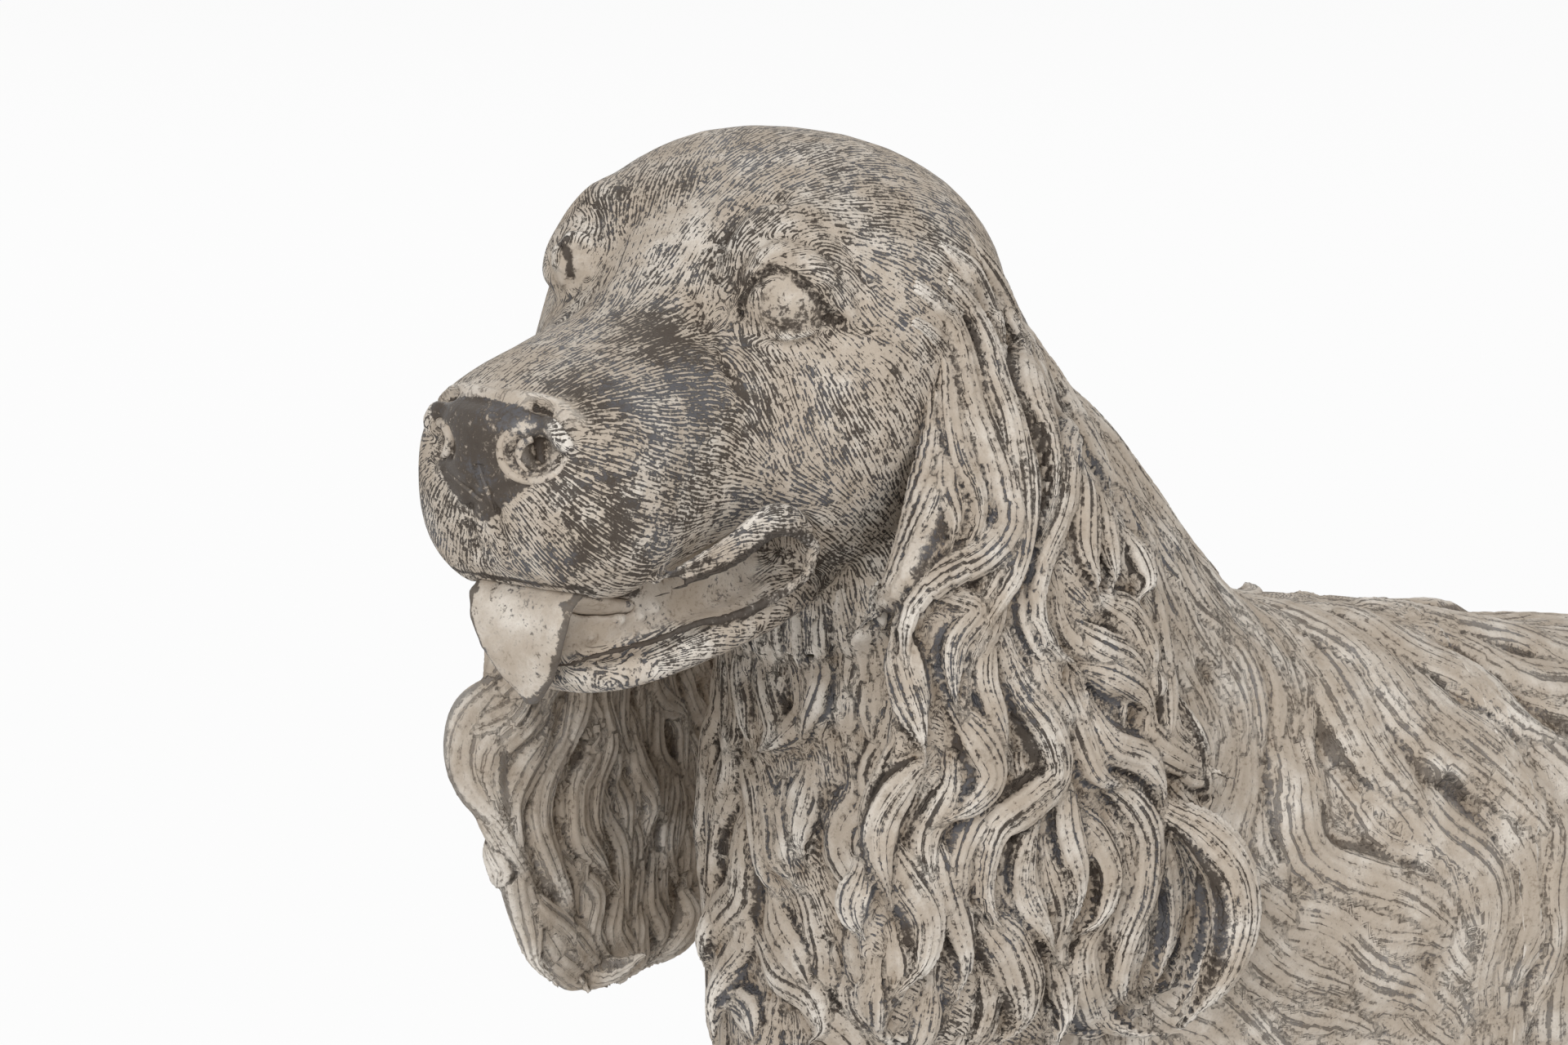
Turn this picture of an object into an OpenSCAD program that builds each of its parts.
// Standing spaniel figurine in cast resin: separate castings that are pinned and glued.
// The dog looks along -X with its head turned to its left, which is -Y. The floor is z = 0.

/* [Stance] */
// Height of the withers above the floor
withers_h = 185; // [165:1:215]
// Length from the breast to the rump
body_l = 195; // [175:1:225]
// Width of the rib cage
chest_w = 77; // [66:1:90]
// Depth of the body from the withers to the brisket
chest_d = 97; // [88:1:108]
// How far the rump lies below the withers
back_drop = 18; // [8:1:26]

/* [Neck] */
// Distance from the skull centre back to the withers
neck_reach = 97; // [88:1:108]
// Height of the skull centre above the withers
neck_rise = 56; // [48:1:66]
// Width of the neck and mane at its base
neck_w = 74; // [64:1:82]

/* [Head] */
// Turn of the head to the dog's left, in degrees
head_turn = 23; // [8:1:30]
// Shift of the skull centre to the dog's left
head_side = 8; // [4:1:12]
// Length of the skull from the occiput to the stop
skull_l = 62; // [56:1:68]
// Width of the skull
skull_w = 61; // [56:1:66]
// Depth of the head from the crown to the throat
skull_h = 63; // [58:1:68]
// Length of the muzzle from the stop to the nose tip
muzzle_l = 43; // [38:1:48]
// Width of the muzzle across the lips
muzzle_w = 35.6; // [32:0.2:39]
// Diameter of an eyeball
eye_d = 12.6; // [11:0.2:14]
// Thickness of the eyelids
lid_t = 1.1; // [0.8:0.1:1.6]
// Distance between the eye centres
eye_gap = 33; // [30:0.5:36]
// Height of the mouth opening between the lips
mouth_gap = 7; // [5:0.5:9]
// Width of the nose pad
nose_w = 20; // [17:0.5:23]
// Diameter of a nostril
nostril_d = 5; // [3.5:0.5:6.5]

/* [Tongue] */
// Width of the tongue
tongue_w = 17; // [15:0.5:19]
// Thickness of the tongue
tongue_t = 3.2; // [2.4:0.2:4]
// Shift of the tongue to the dog's left
tongue_side = 1.2; // [0:0.2:2]

/* [Ears] */
// Length of the left ear from its top edge to its tip
left_ear_l = 105; // [92:1:114]
// Length of the right ear from its top edge to its tip
right_ear_l = 113; // [96:1:118]
// Width of an ear where it is widest
ear_w = 72; // [62:1:78]
// Thickness of an ear
ear_t = 10; // [8:0.5:12]
// Diameter of the round foot that seats an ear on the skull
ear_foot_d = 20; // [16:1:24]
// Turn of the left ear away from the side of the head, in degrees
left_ear_turn = 14; // [6:1:18]
// Turn of the right ear away from the side of the head, in degrees
right_ear_turn = 6; // [0:1:12]
// Backward swing of the right ear, in degrees
right_swing = 12; // [0:1:16]
// Number of hair locks across an ear
ear_locks = 6; // [4:1:8]
// Height of the locks on the ears
lock_h = 1.6; // [0.8:0.2:2.2]

/* [Coat] */
// Number of swaths of hair round each side of the trunk
swaths = 7; // [5:1:8]
// Depth of the furrows between the swaths
swath_h = 2.4; // [1:0.2:3]
// How many swaths the furrows drop from the breast to the rump
swath_sweep = 3; // [1:0.5:4]

/* [Legs] */
// How far the glued leg joints lie below the brisket
joint_drop = 3; // [2:0.5:8]
// Distance between the centres of the left and right paws
stance_w = 48; // [42:1:52]
// Distance between the front and rear paws
stance_l = 115; // [105:1:125]
// Length of a paw
paw_l = 36; // [32:1:40]
// Width of a paw
paw_w = 29; // [26:1:32]
// Depth of the grooves between the toes
toe_groove = 1.8; // [1:0.2:2.4]

/* [Tail] */
// Length of the tail outside the rump
tail_l = 46; // [36:1:56]
// Thickness of the tail at its root
tail_d = 22; // [18:1:26]
// Angle of the tail above the level, in degrees
tail_angle = 24; // [10:1:40]

/* [Pins and pads] */
// Diameter of the steel rod in each leg
leg_rod_d = 6; // [4:0.5:8]
// Length of the rod in each leg, half in the body and half in the leg
leg_rod_l = 56; // [40:2:64]
// Diameter of the steel dowel in the neck
neck_dowel_d = 10; // [6:1:14]
// Length of the dowel in the neck
neck_dowel_l = 50; // [36:2:60]
// Diameter of the pegs in the ears and the tail
peg_d = 4; // [3:0.5:5]
// Length of the pegs in the ears
ear_peg_l = 16; // [12:1:18]
// Length of the peg in the tail
tail_peg_l = 30; // [20:2:36]
// Glue gap between two castings, and round a pin
glue_gap = 0.1; // [0.05:0.05:0.3]
// Thickness of the felt pads under the paws
pad_t = 1.5; // [1:0.5:3]
// Margin between a felt pad and the edge of the paw
pad_margin = 2.5; // [1.5:0.5:4]

/* [Hidden] */

resin = "#c3b7a4";
steel = "#9aa0a6";
felt = "#4a4038";
pin_fn = 48;
detail_fn = 16;

// Places that follow from the sizes above. The skull centre is x = 0.
skull_z = withers_h + neck_rise;
skull_at = [0, -head_side, skull_z];
breast_x = 0.01 * neck_reach;
rump_x = breast_x + body_l;
brisket_z = withers_h - chest_d;
joint_z = brisket_z - joint_drop;
rump_z = withers_h - back_drop;
front_leg_x = breast_x + 0.27 * body_l;
rear_leg_x = front_leg_x + stance_l;
occiput_x = -0.613 * skull_l;
stop_x = occiput_x + skull_l;
nose_x = stop_x + muzzle_l;
eye_at = [stop_x - 2, eye_gap / 2, 0.07 * skull_h];
lip_z = -0.52 * skull_h;
seat_y = 0.43 * skull_w;
ear_at = [stop_x - 30, seat_y, -0.17 * skull_h];
ear_gap = 0.5 * skull_w - seat_y + 1;
tail_root = [rump_x - 5, 0, rump_z - 14];

// The part's frame has its origin on the floor at the middle of its outline.
front_x = -nose_x * cos(head_turn) - 0.1 * nose_w;
back_x = tail_root[0] + tail_l * cos(tail_angle) + 2;
left_y = -head_side - ear_at[1] * cos(head_turn) - ear_gap - ear_t - 3;
right_y = -head_side + (ear_gap + seat_y + ear_t + 6.5) * cos(head_turn) + 0.28 * ear_w;
middle = [(front_x + back_x) / 2, (left_y + right_y) / 2, 0];

// Signed power that squares off a circle into a superellipse of order n.
function bow(c, n) = sign(c) * pow(abs(c), 2 / n);
function mix(a, b, t) = a + (b - a) * t;
function bell(p, centre, r) = exp(-pow(norm(p - centre) / r, 2));
function step01(t) = let (s = max(0, min(1, t))) s * s * (3 - 2 * s);

// Smooth row of values at x, through rows that start with their own x.
function row_index(rows, x, i = 0) =
    i >= len(rows) - 2 || x < rows[i + 1][0] ? i : row_index(rows, x, i + 1);
function row_slope(rows, i) =
    let (a = max(i - 1, 0), b = min(i + 1, len(rows) - 1))
    (rows[b] - rows[a]) / (rows[b][0] - rows[a][0]);
function row_at(rows, x) =
    let (
        i = row_index(rows, x),
        h = rows[i + 1][0] - rows[i][0],
        t = (x - rows[i][0]) / h,
        m0 = row_slope(rows, i) * h,
        m1 = row_slope(rows, i + 1) * h
    )
    rows[i] * (1 + t * t * (2 * t - 3)) + rows[i + 1] * t * t * (3 - 2 * t)
    + m0 * t * (1 - t) * (1 - t) - m1 * t * t * (1 - t);

// A turn of unit directions for the points round a ring.
function turn_of(n) = [for (j = [0:n - 1]) j * 360 / n];
function middle_of(ring) = [for (p = ring) 1] * ring / len(ring);

// A closed skin over rings of equal point count, with a fan at each end.
module loft(rings) {
    n = len(rings[0]);
    m = len(rings);
    points = concat([for (r = rings) each r], [middle_of(rings[0]), middle_of(rings[m - 1])]);
    sides = [
        for (i = [0:m - 2], j = [0:n - 1])
        let (a = i * n + j, b = i * n + (j + 1) % n)
        each [[a, b + n, b], [a, a + n, b + n]]
    ];
    first = [for (j = [0:n - 1]) [m * n, j, (j + 1) % n]];
    last = [for (j = [0:n - 1]) let (k = (m - 1) * n) [m * n + 1, k + (j + 1) % n, k + j]];
    polyhedron(points, concat(sides, first, last), convexity = 8);
}

// One moulded skin over everything inside it.
module moulded() {
    resize([0, 0, 0]) union() children();
}

// The half of space in front of the neck joint, or behind it.
neck_nape = [0.454 * neck_reach, -0.07 * neck_rise];
neck_throat = [0.04 * neck_reach, -0.86 * neck_rise];
neck_lean = atan2(neck_nape[1] - neck_throat[1], neck_nape[0] - neck_throat[0]);
neck_mid = [
    (neck_nape[0] + neck_throat[0]) / 2, -0.5 * head_side,
    skull_z + (neck_nape[1] + neck_throat[1]) / 2
];
module at_neck() {
    translate(neck_mid) rotate([0, -neck_lean, 0]) children();
}
module neck_side(towards_head) {
    big = 2 * body_l;
    lift = towards_head ? big / 2 + glue_gap / 2 : -big / 2 - glue_gap / 2;
    at_neck() translate([0, 0, lift]) cube(big, center = true);
}

module at_head() {
    translate(skull_at) rotate([0, 0, 180 + head_turn]) children();
}

/*  Trunk  */

// Swaths of hair are round ridges with sharp furrows, counted by g down from the top of a ring.
swath_wave = 0.4;
trunk_n = 44;
function from_top(a) = abs((a + 90) % 360 - 180);
function swath(g) = swath_h * (abs(sin(g * 180)) - 1);
function barrel_swath(t, a) =
    let (down = from_top(a), fade = step01(t / 0.15) * step01((1 - t) / 0.15))
    fade * swath(down / 180 * swaths - swath_sweep * t + swath_wave * sin(t * 900 + down * 1.5));
function neck_swath(t, a) =
    let (down = from_top(a))
    step01((t - 0.15) / 0.3) * swath(down / 180 * swaths + swath_wave * sin(t * 900 + down));

// Body sections: share of the length, top, bottom, half width and squareness.
barrel_rows = [
    [0.00, 0.36, 0.70, 0.24], [0.05, 0.23, 0.84, 0.58], [0.15, 0.09, 0.94, 0.84],
    [0.30, 0.01, 0.99, 0.97], [0.50, 0.00, 1.00, 1.00], [0.65, 0.02, 0.96, 0.96],
    [0.80, 0.03, 0.90, 0.89], [0.92, 0.03, 0.82, 0.80], [0.98, 0.08, 0.68, 0.58],
    [1.00, 0.20, 0.54, 0.27],
];
function back_z(t) = withers_h - back_drop * step01((t - 0.45) / 0.6);
function barrel_ring(t, n) =
    let (
        r = row_at(barrel_rows, t),
        top = back_z(t) - r[1] * chest_d,
        low = withers_h - r[2] * chest_d,
        x = breast_x + t * body_l
    )
    [for (a = turn_of(n))
        [x, r[3] * chest_w / 2 * bow(cos(a), 2.3), (top + low) / 2 + (top - low) / 2 * bow(sin(a), 2.2)]
        + barrel_swath(t, a) * [0, cos(a), sin(a)]];

// Neck sections: share of the way down, nape x and z, throat x and z, half width and sideways shift.
neck_rows = [
    [0.0, 0.14, 0.18, -0.14, -0.43, 0.54, 1.0], [0.2, 0.36, -0.08, -0.02, -0.75, 0.73, 0.8],
    [0.35, 0.52, -0.30, 0.00, -1.04, 0.83, 0.5], [0.5, 0.66, -0.56, 0.00, -1.39, 0.91, 0.3],
    [0.65, 0.81, -0.89, 0.00, -1.75, 0.96, 0.1], [0.8, 0.98, -1.05, 0.02, -2.14, 0.92, 0],
    [0.92, 1.09, -1.24, 0.14, -2.50, 0.72, 0], [1.0, 1.03, -1.56, 0.40, -2.41, 0.40, 0],
];
function neck_ring(t, n) =
    let (
        r = row_at(neck_rows, t),
        nape = [r[1] * neck_reach, -r[6] * head_side, skull_z + r[2] * neck_rise],
        throat = [r[3] * neck_reach, -r[6] * head_side, skull_z + r[4] * neck_rise],
        along = (nape - throat) / 2
    )
    [for (a = turn_of(n))
        (nape + throat) / 2 + along * bow(sin(a), 2.2) + [0, r[5] * neck_w / 2 * bow(cos(a), 2.2), 0]
        + neck_swath(t, a) * (sin(a) * along / norm(along) + [0, cos(a), 0])];

module neck_skin() {
    loft([for (i = [0:14]) neck_ring(i / 14, trunk_n)]);
}

module trunk_casting() {
    color(resin) difference() {
        moulded() difference() {
            union() {
                loft([for (i = [0:16]) barrel_ring((1 - cos(i * 180 / 16)) / 2, trunk_n)]);
                intersection() {
                    neck_skin();
                    neck_side(false);
                }
                for (leg = LEGS) leg_above(leg);
            }
            tail_seat();
        }
        dowel_hole();
        for (leg = LEGS) rod_hole(leg);
        tail_hole();
    }
}

/*  Legs  */

// Each leg: name, paw x and side.
LEGS = [
    ["front_left", front_leg_x, -1], ["front_right", front_leg_x, 1],
    ["rear_left", rear_leg_x, -1], ["rear_right", rear_leg_x, 1],
];
function is_front(leg) = leg[1] == front_leg_x;

// Leg sections: share of the joint height, shift in x, half length and half width in paw sizes,
// and shift in towards the body in paw widths.
front_rows = [
    [0.00, -0.08, 0.44, 0.44, 0], [0.05, -0.10, 0.50, 0.50, 0], [0.13, -0.08, 0.45, 0.47, 0],
    [0.23, 0.02, 0.36, 0.40, 0], [0.42, 0.04, 0.37, 0.42, 0], [0.72, 0.08, 0.43, 0.45, 0],
    [1.00, 0.11, 0.50, 0.48, 0.02], [1.30, 0.12, 0.54, 0.42, 0.10], [1.62, 0.13, 0.36, 0.24, 0.24],
];
rear_rows = [
    [0.00, -0.02, 0.44, 0.44, 0], [0.05, -0.04, 0.50, 0.50, 0], [0.13, 0.00, 0.45, 0.47, 0],
    [0.25, 0.16, 0.36, 0.40, 0], [0.44, 0.29, 0.40, 0.43, 0], [0.68, 0.14, 0.52, 0.48, 0],
    [1.00, -0.06, 0.68, 0.53, 0.01], [1.34, -0.14, 0.78, 0.50, 0.08], [1.62, -0.16, 0.62, 0.30, 0.22],
];
leg_top = 1.62;
toes = 4;
toe_fan = 32;
// Toe grooves fan out over the front of the paw and fade above it.
function toe_cut(a, t) =
    let (off = abs(a - 180))
    off > toe_fan * toes / 2 ? 0
    : toe_groove * (1 - step01((t - 0.04) / 0.14)) * pow(abs(cos(off / toe_fan * 180)), 6);
function leg_ring(leg, t, n) =
    let (r = row_at(is_front(leg) ? front_rows : rear_rows, t))
    [for (a = turn_of(n))
        let (cut = toe_cut(a, t))
        [
            leg[1] + r[1] * paw_l + (r[2] * paw_l - cut) * bow(cos(a), 2.3),
            leg[2] * (stance_w / 2 - r[4] * paw_w) + (r[3] * paw_w - cut) * bow(sin(a), 2.3),
            mix(pad_t, joint_z, t)
        ]];
module leg_skin(leg) {
    steps = concat([0, 0.025, 0.06, 0.1, 0.15], [for (i = [0:7]) mix(0.22, leg_top, i / 7)]);
    loft([for (t = steps) leg_ring(leg, t, 24)]);
}
module above(z) {
    translate([rump_x / 2, 0, z + body_l]) cube(2 * body_l, center = true);
}
module leg_above(leg) {
    intersection() {
        leg_skin(leg);
        above(joint_z + glue_gap / 2);
    }
}
function rod_at(leg) =
    let (r = row_at(is_front(leg) ? front_rows : rear_rows, 1))
    [leg[1] + r[1] * paw_l, leg[2] * (stance_w / 2 - r[4] * paw_w), joint_z];
module rod_hole(leg) {
    translate(rod_at(leg))
        cylinder(h = leg_rod_l + 2 * glue_gap, d = leg_rod_d + 2 * glue_gap, center = true, $fn = pin_fn);
}
module leg_casting(leg) {
    color(resin) difference() {
        moulded() difference() {
            leg_skin(leg);
            above(joint_z - glue_gap / 2);
        }
        rod_hole(leg);
    }
}
module leg_rod(leg) {
    color(steel) translate(rod_at(leg)) cylinder(h = leg_rod_l, d = leg_rod_d, center = true, $fn = pin_fn);
}
module paw_pad(leg) {
    ring = leg_ring(leg, 0, 48);
    color(felt) linear_extrude(pad_t) offset(r = -pad_margin)
        polygon([for (p = ring) [p[0], p[1]]]);
}

/*  Tail  */

module at_tail() {
    translate(tail_root) rotate([0, 90 - tail_angle, 0]) children();
}
// Flat round seat for the tail in the rump.
module tail_seat() {
    at_tail() cylinder(h = tail_l, d = 1.2 * tail_d, $fn = detail_fn);
}
module before_tail() {
    big = 2 * tail_l;
    at_tail() translate([0, 0, glue_gap - big / 2]) cube(big, center = true);
}
// Tail sections: share of the length, half width and droop of the feathering below.
tail_rows = [
    [-0.3, 0.42, 0.5], [0.0, 0.50, 0.55], [0.25, 0.48, 0.75], [0.5, 0.42, 0.85],
    [0.75, 0.32, 0.7], [0.92, 0.2, 0.45], [1.0, 0.08, 0.15],
];
function tail_ring(t, n) =
    let (r = row_at(tail_rows, t))
    [for (a = turn_of(n)) [
        -tail_d * (sin(a) > 0 ? r[1] : r[2]) * bow(sin(a), 2.1),
        r[1] * tail_d * 0.9 * bow(cos(a), 2.1),
        t * tail_l
    ]];
module tail_hole() {
    at_tail() cylinder(h = tail_peg_l + 2 * glue_gap, d = peg_d + 2 * glue_gap, center = true, $fn = pin_fn);
}
module tail() {
    color(resin) difference() {
        moulded() difference() {
            at_tail() loft([for (i = [0:9]) tail_ring(mix(-0.1, 1, i / 9), 16)]);
            before_tail();
        }
        tail_hole();
    }
}
module tail_peg() {
    color(steel) at_tail() cylinder(h = tail_peg_l, d = peg_d, center = true, $fn = pin_fn);
}

/*  Head  */

// Head sections: 0 to 1 is the skull, 1 to 2 the muzzle; then the top, widest and lowest height in
// skull depths, and half width in skull widths and in muzzle widths.
head_rows = [
    [0.00, -0.03, -0.127, -0.22, 0.20, 0], [0.08, 0.125, -0.11, -0.38, 0.54, 0],
    [0.226, 0.25, -0.095, -0.524, 0.80, 0], [0.42, 0.335, -0.08, -0.603, 0.96, 0],
    [0.613, 0.365, -0.08, -0.635, 1.0, 0], [0.774, 0.333, -0.08, -0.635, 0.967, 0],
    [0.903, 0.273, -0.095, -0.603, 0.87, 0], [1.0, 0.194, -0.127, -0.556, 0.51, 0.43],
    [1.116, 0.108, -0.159, -0.532, 0.25, 0.72], [1.256, 0.048, -0.19, -0.524, 0.1, 0.89],
    [1.442, 0.013, -0.222, -0.532, 0, 1.0], [1.628, -0.01, -0.238, -0.532, 0, 0.99],
    [1.79, -0.035, -0.246, -0.508, 0, 0.91], [1.895, -0.06, -0.238, -0.452, 0, 0.73],
    [1.965, -0.095, -0.206, -0.349, 0, 0.48], [2.0, -0.14, -0.19, -0.27, 0, 0.2],
];
function head_x(f) = f < 1 ? occiput_x + f * skull_l : stop_x + (f - 1) * muzzle_l;

// Soft rises and hollows of the face: centre, radius and height, on both sides.
face_forms = [
    [eye_at + [-1, 2, 8.5], 7, 3.4], [eye_at + [1, 5, 0], 8.5, -4.4],
    [eye_at + [-7, 9, -15], 11, 1.6], [eye_at + [9, -6, -4], 6, -1.6],
    [[eye_at[0], 0, eye_at[2] + 12], 6, -1.2], [[nose_x - 14, 14, -0.43 * skull_h], 9, 1.8],
    [[nose_x - 30, 16, -0.22 * skull_h], 8, -1.2],
];
function face_rise(p) =
    [for (f = face_forms) f[2] * bell([p[0], abs(p[1]), p[2]], f[0], f[1])] * [for (f = face_forms) 1];
function head_ring(f, n) =
    let (
        r = row_at(head_rows, f),
        w = (r[4] * skull_w + r[5] * muzzle_w) / 2,
        mid = r[2] * skull_h
    )
    [for (a = turn_of(n))
        let (
            half = (sin(a) > 0 ? r[1] - r[2] : r[2] - r[3]) * skull_h,
            p = [head_x(f), w * bow(cos(a), 2.3), mid + half * bow(sin(a), 2.3)]
        )
        p + face_rise(p) * [0, cos(a), sin(a)]];

// Jaw sections: share from the throat to the chin, top, bottom and half width.
jaw_rows = [
    [0.0, -0.46, -0.62, 0.60], [0.15, -0.44, -0.66, 0.92], [0.4, -0.50, -0.69, 1.05],
    [0.65, -0.56, -0.71, 0.98], [0.85, -0.61, -0.73, 0.78], [0.95, -0.63, -0.73, 0.58],
    [1.0, -0.65, -0.70, 0.28],
];
jaw_back_x = stop_x - 26;
jaw_front_x = nose_x - 12.5;
function jaw_ring(t, n) =
    let (r = row_at(jaw_rows, t), mid = (r[1] + r[2]) / 2 * skull_h, half = (r[1] - r[2]) / 2 * skull_h)
    [for (a = turn_of(n)) [
        mix(jaw_back_x, jaw_front_x, t), r[3] * muzzle_w / 2 * bow(cos(a), 2.4), mid + half * bow(sin(a), 2.4)
    ]];

// Open mouth: share of the muzzle from the stop, middle height in skull depths, opening in mouth gaps.
mouth_rows = [
    [-0.14, -0.480, 0.62], [-0.06, -0.466, 1.20], [0.08, -0.482, 1.50], [0.28, -0.522, 1.23],
    [0.46, -0.540, 1.02], [0.65, -0.563, 1.02], [0.79, -0.576, 1.50], [0.91, -0.564, 2.45],
    [1.2, -0.590, 3.40],
];
lip_r = 1.2;
function lip_point(r, side) = [stop_x + r[0] * muzzle_l, r[1] * skull_h + side * r[2] * mouth_gap / 2];
module mouth_slot() {
    last = len(mouth_rows) - 1;
    upper = [for (r = mouth_rows) lip_point(r, 1)];
    lower = [for (i = [0:last]) lip_point(mouth_rows[last - i], -1)];
    rotate([90, 0, 0]) linear_extrude(2 * muzzle_w, center = true)
        offset(r = lip_r) offset(r = -lip_r) polygon(concat(upper, lower));
}
// Gums that close the mouth behind the lips: share from the corner to the chin and half width.
gum_rows = [[0.0, 0.80], [0.25, 0.80], [0.5, 0.72], [0.72, 0.60], [0.9, 0.48], [1.0, 0.30]];
gum_top = -0.385;
gum_low = -0.685;
gum_lean = 0.12;
function gum_ring(t, n) =
    let (
        x = mix(lip_point(mouth_rows[0], 0)[0] - lip_r, jaw_front_x, t),
        w = row_at(gum_rows, t)[1] * muzzle_w / 2,
        mid = (gum_top + gum_low) / 2 * skull_h,
        half = (gum_top - gum_low) / 2 * skull_h
    )
    [for (a = turn_of(n)) [
        x, w * (1 - gum_lean * (1 + sin(a))) * bow(cos(a), 2.4), mid + half * bow(sin(a), 2.4)
    ]];
module gums() {
    loft([for (i = [0:8]) gum_ring(i / 8, 16)]);
}

// Nose pad: a soft block with rounded wings, over a narrower stem above the lip.
module nose_pad() {
    r = 0.2 * nose_w;
    hull() {
        for (s = [-1, 1]) {
            translate([nose_x - 6, s * (nose_w / 2 - r), -0.12 * skull_h]) sphere(r, $fn = detail_fn);
            translate([nose_x - 3.4, s * 0.24 * nose_w, -0.14 * skull_h]) sphere(r, $fn = detail_fn);
            translate([nose_x - 4.5, s * 0.2 * nose_w, -0.22 * skull_h]) sphere(0.8 * r, $fn = detail_fn);
        }
        translate([nose_x - 5.5, 0, -0.29 * skull_h]) sphere(0.6 * r, $fn = detail_fn);
    }
}
module nostril() {
    translate([nose_x + 0.2, 0.31 * nose_w, -0.165 * skull_h]) scale([1, 1, 0.8])
        sphere(d = nostril_d, $fn = detail_fn);
    translate([nose_x - 3, 0.5 * nose_w, -0.175 * skull_h]) rotate([0, 0, 40]) scale([1.8, 0.8, 0.55])
        sphere(d = nostril_d, $fn = detail_fn);
}

// An eyeball between two thick lids, looking forwards and outwards.
module eye() {
    r = eye_d / 2;
    translate(eye_at) rotate([0, 0, 46]) {
        sphere(r, $fn = detail_fn);
        difference() {
            sphere(r + lid_t, $fn = detail_fn);
            rotate([90, 0, 0]) linear_extrude(3 * eye_d, center = true)
                polygon([[0.1 * r, 0.1 * r], [2 * r, 2.1 * r], [2 * r, -1.4 * r]]);
        }
    }
}

module skull_skin() {
    steps = concat([for (i = [0:13]) i / 13], [for (i = [1:14]) 1 + pow(i / 14, 0.85)]);
    loft([for (f = steps) head_ring(f, 40)]);
}
module jaw_skin() {
    loft([for (i = [0:10]) jaw_ring(sin(i / 10 * 90), 20)]);
}

module head_casting() {
    color(resin) difference() {
        moulded() difference() {
            union() {
                at_head() difference() {
                    union() {
                        difference() {
                            union() {
                                skull_skin();
                                jaw_skin();
                            }
                            mouth_slot();
                        }
                        gums();
                        nose_pad();
                        for (s = [0, 1]) mirror([0, s, 0]) eye();
                    }
                    for (s = [0, 1]) mirror([0, s, 0]) nostril();
                    tongue_skin(glue_gap);
                }
                neck_skin();
            }
            neck_side(false);
        }
        dowel_hole();
        at_head() for (s = [-1, 1]) {
            ear_seat(s);
            ear_hole(s);
        }
    }
}
module dowel_hole() {
    at_neck() cylinder(
        h = neck_dowel_l + 2 * glue_gap, d = neck_dowel_d + 2 * glue_gap, center = true, $fn = pin_fn
    );
}
module neck_dowel() {
    color(steel) at_neck() cylinder(h = neck_dowel_l, d = neck_dowel_d, center = true, $fn = pin_fn);
}

/*  Tongue  */

// Tongue sections: share of the length, x from the nose, z from the lips, lean and half width.
tongue_rows = [
    [0.0, -36, -4.0, 0, 0.62], [0.25, -26, -3.6, 0, 0.84], [0.45, -17, -1.6, -12, 0.95],
    [0.62, -10.5, 1.0, 4, 1.0], [0.72, -8.0, -0.2, 44, 1.0], [0.82, -7.6, -4.4, 76, 0.86],
    [0.91, -8.4, -9.0, 90, 0.56], [0.97, -9.6, -12.2, 100, 0.24], [1.0, -10.2, -13.4, 104, 0.08],
];
function tongue_ring(t, n, grow) =
    let (r = row_at(tongue_rows, t), lean = r[3])
    [for (a = turn_of(n))
        let (
            side = (r[4] * tongue_w / 2 + grow) * bow(cos(a), 2.6),
            thick = (tongue_t / 2 + grow) * bow(sin(a), 2.2),
            dish = 0.10 * tongue_t * pow(side / tongue_w * 4, 2)
        )
        [
            nose_x + r[1] + (thick + dish) * sin(lean), side + tongue_side,
            lip_z + r[2] + (thick + dish) * cos(lean)
        ]];
module tongue_skin(grow) {
    loft([for (i = [0:14]) tongue_ring(i / 14, 18, grow)]);
}
module tongue() {
    color(resin) at_head() tongue_skin(0);
}

/*  Ears  */

// Ear sections: share of the length, front and rear edge in ear widths, thickness and outward swing.
ear_rows = [
    [0.00, -0.05, 0.08, 0.35, 0.0], [0.07, -0.15, 0.13, 0.75, 0.0], [0.19, -0.20, 0.22, 0.95, 0.1],
    [0.31, -0.29, 0.31, 1.0, 0.25], [0.45, -0.35, 0.39, 1.0, 0.4], [0.59, -0.40, 0.46, 1.0, 0.45],
    [0.72, -0.46, 0.51, 0.95, 0.42], [0.86, -0.41, 0.53, 0.85, 0.35], [0.95, -0.26, 0.43, 0.6, 0.28],
    [1.00, -0.05, 0.26, 0.25, 0.25],
];
outer_n = 24;
inner_n = 14;
function ear_turn() = concat(
    [for (i = [0:outer_n - 1]) 180 * i / outer_n], [for (i = [0:inner_n - 1]) 180 + 180 * i / inner_n]
);
ear_swing = 10;
ear_rise = 10.5;
lock_wave = 0.09;
// Locks run down the ear in S curves and stand proud of both its faces, less on the inner one.
inner_lock = 0.6;
function lock_rise(u, v) =
    let (s = (u + lock_wave * sin(v * 540)) * ear_locks)
    lock_h * step01(v / 0.25) * (abs(sin(s * 180)) - 0.5);
function ear_ring(v, ear_l) =
    let (r = row_at(ear_rows, v), half = (r[2] - r[1]) / 2 * ear_w, mid = (r[1] + r[2]) / 2 * ear_w)
    [for (a = ear_turn())
        let (
            c = cos(a),
            u = (mid + half * c) / ear_w,
            rise = lock_rise(u, v) * sin(a) * (sin(a) > 0 ? 1 : inner_lock),
            edge = 1.4 * sin(v * 1260) * step01(v / 0.3) * abs(cos(a))
        )
        [
            -(mid + (half + edge) * c),
            ear_gap + ear_t / 2 + r[4] * ear_swing + r[3] * ear_t / 2 * bow(sin(a), 2.4) + rise,
            ear_rise - v * ear_l
        ]];
module at_ear(side) {
    turned = side > 0 ? -left_ear_turn : -right_ear_turn;
    at_seat(side) rotate([0, side > 0 ? 0 : right_swing, turned]) children();
}
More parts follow.
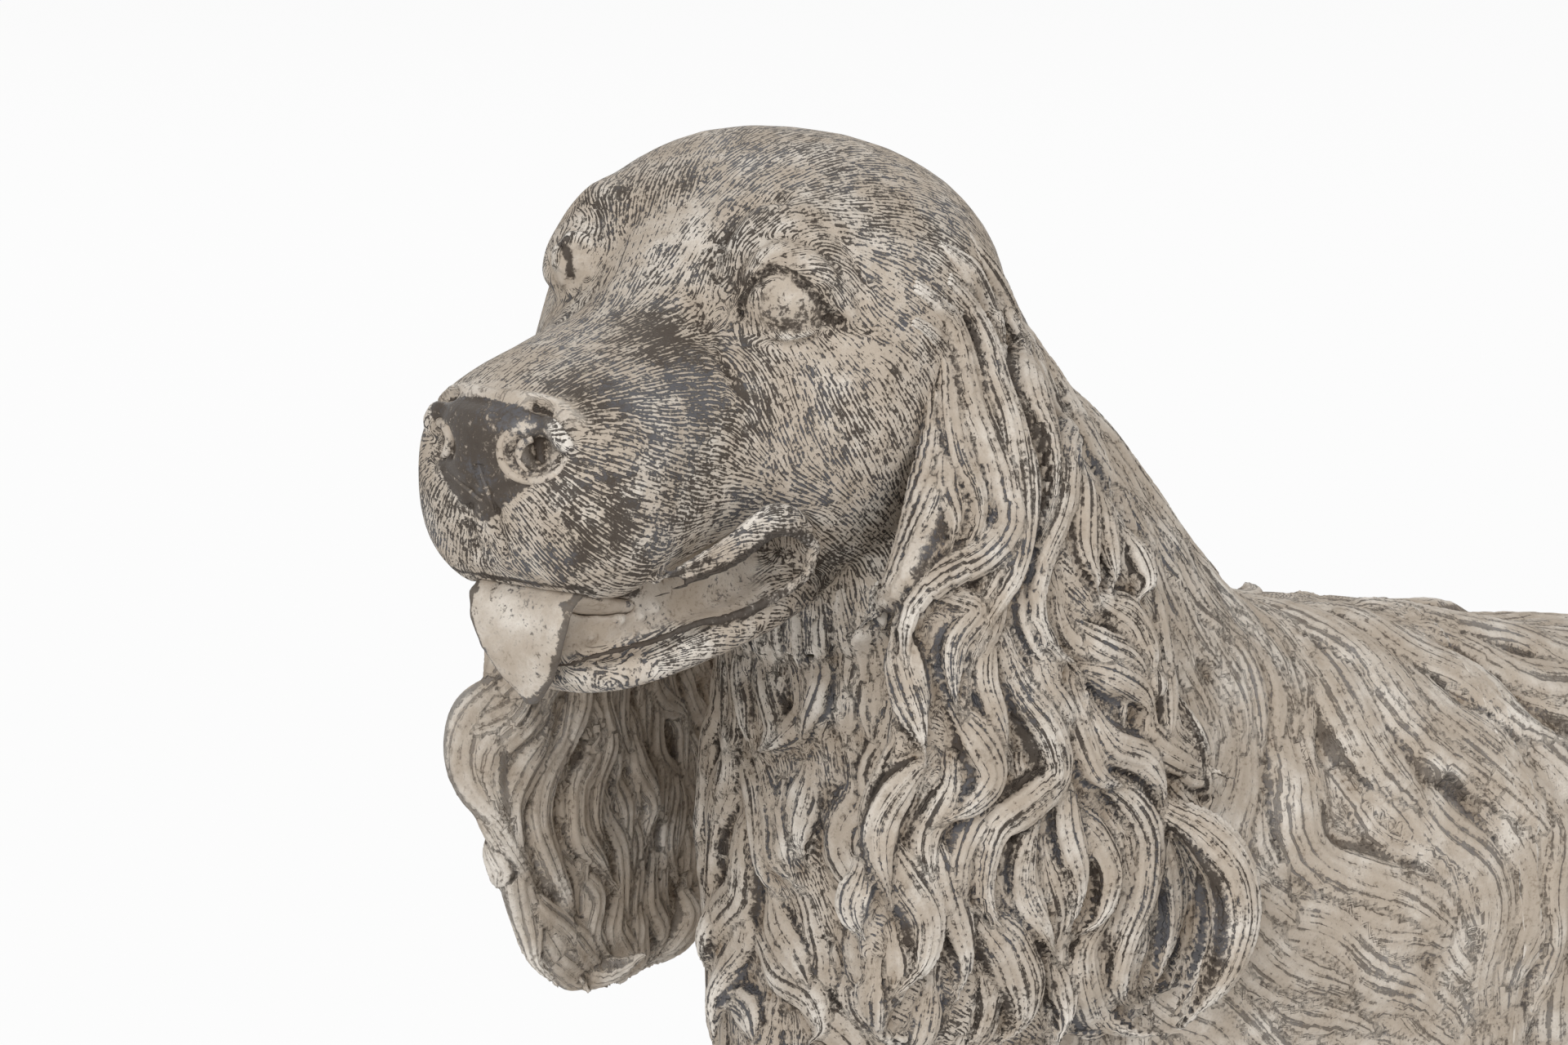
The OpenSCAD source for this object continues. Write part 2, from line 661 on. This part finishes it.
module ear_foot(grow) {
    rotate([-90, 0, 0]) cylinder(h = ear_gap + ear_t / 2, d = ear_foot_d + 2 * grow, $fn = pin_fn);
}
module at_seat(side) {
    translate([ear_at[0], side * ear_at[1], ear_at[2]]) mirror([0, side > 0 ? 0 : 1, 0]) children();
}
module ear_seat(side) {
    at_seat(side) translate([0, -glue_gap, 0]) ear_foot(glue_gap);
}
module ear_hole(side) {
    translate([ear_at[0], side * ear_at[1], ear_at[2]]) rotate([90, 0, 0])
        cylinder(h = ear_peg_l + 2 * glue_gap, d = peg_d + 2 * glue_gap, center = true, $fn = pin_fn);
}
module ear(side) {
    ear_l = side > 0 ? left_ear_l : right_ear_l;
    color(resin) at_head() difference() {
        union() {
            moulded() at_ear(side) loft([for (i = [0:18]) ear_ring(i / 18, ear_l)]);
            at_seat(side) ear_foot(0);
        }
        ear_hole(side);
    }
}
module ear_pegs() {
    color(steel) at_head() for (s = [-1, 1])
        translate([ear_at[0], s * ear_at[1], ear_at[2]]) rotate([90, 0, 0])
            cylinder(h = ear_peg_l, d = peg_d, center = true, $fn = pin_fn);
}

module in_frame() {
    translate(-middle) children();
}

in_frame() trunk_casting();
in_frame() head_casting();
in_frame() tongue();
in_frame() ear(1);  // left_ear
in_frame() ear(-1);  // right_ear
in_frame() leg_casting(LEGS[0]);  // front_left_leg
in_frame() leg_casting(LEGS[1]);  // front_right_leg
in_frame() leg_casting(LEGS[2]);  // rear_left_leg
in_frame() leg_casting(LEGS[3]);  // rear_right_leg
in_frame() tail();
in_frame() neck_dowel();
in_frame() ear_pegs();
in_frame() tail_peg();
in_frame() leg_rod(LEGS[0]);  // front_left_rod
in_frame() leg_rod(LEGS[1]);  // front_right_rod
in_frame() leg_rod(LEGS[2]);  // rear_left_rod
in_frame() leg_rod(LEGS[3]);  // rear_right_rod
in_frame() paw_pad(LEGS[0]);  // front_left_pad
in_frame() paw_pad(LEGS[1]);  // front_right_pad
in_frame() paw_pad(LEGS[2]);  // rear_left_pad
in_frame() paw_pad(LEGS[3]);  // rear_right_pad
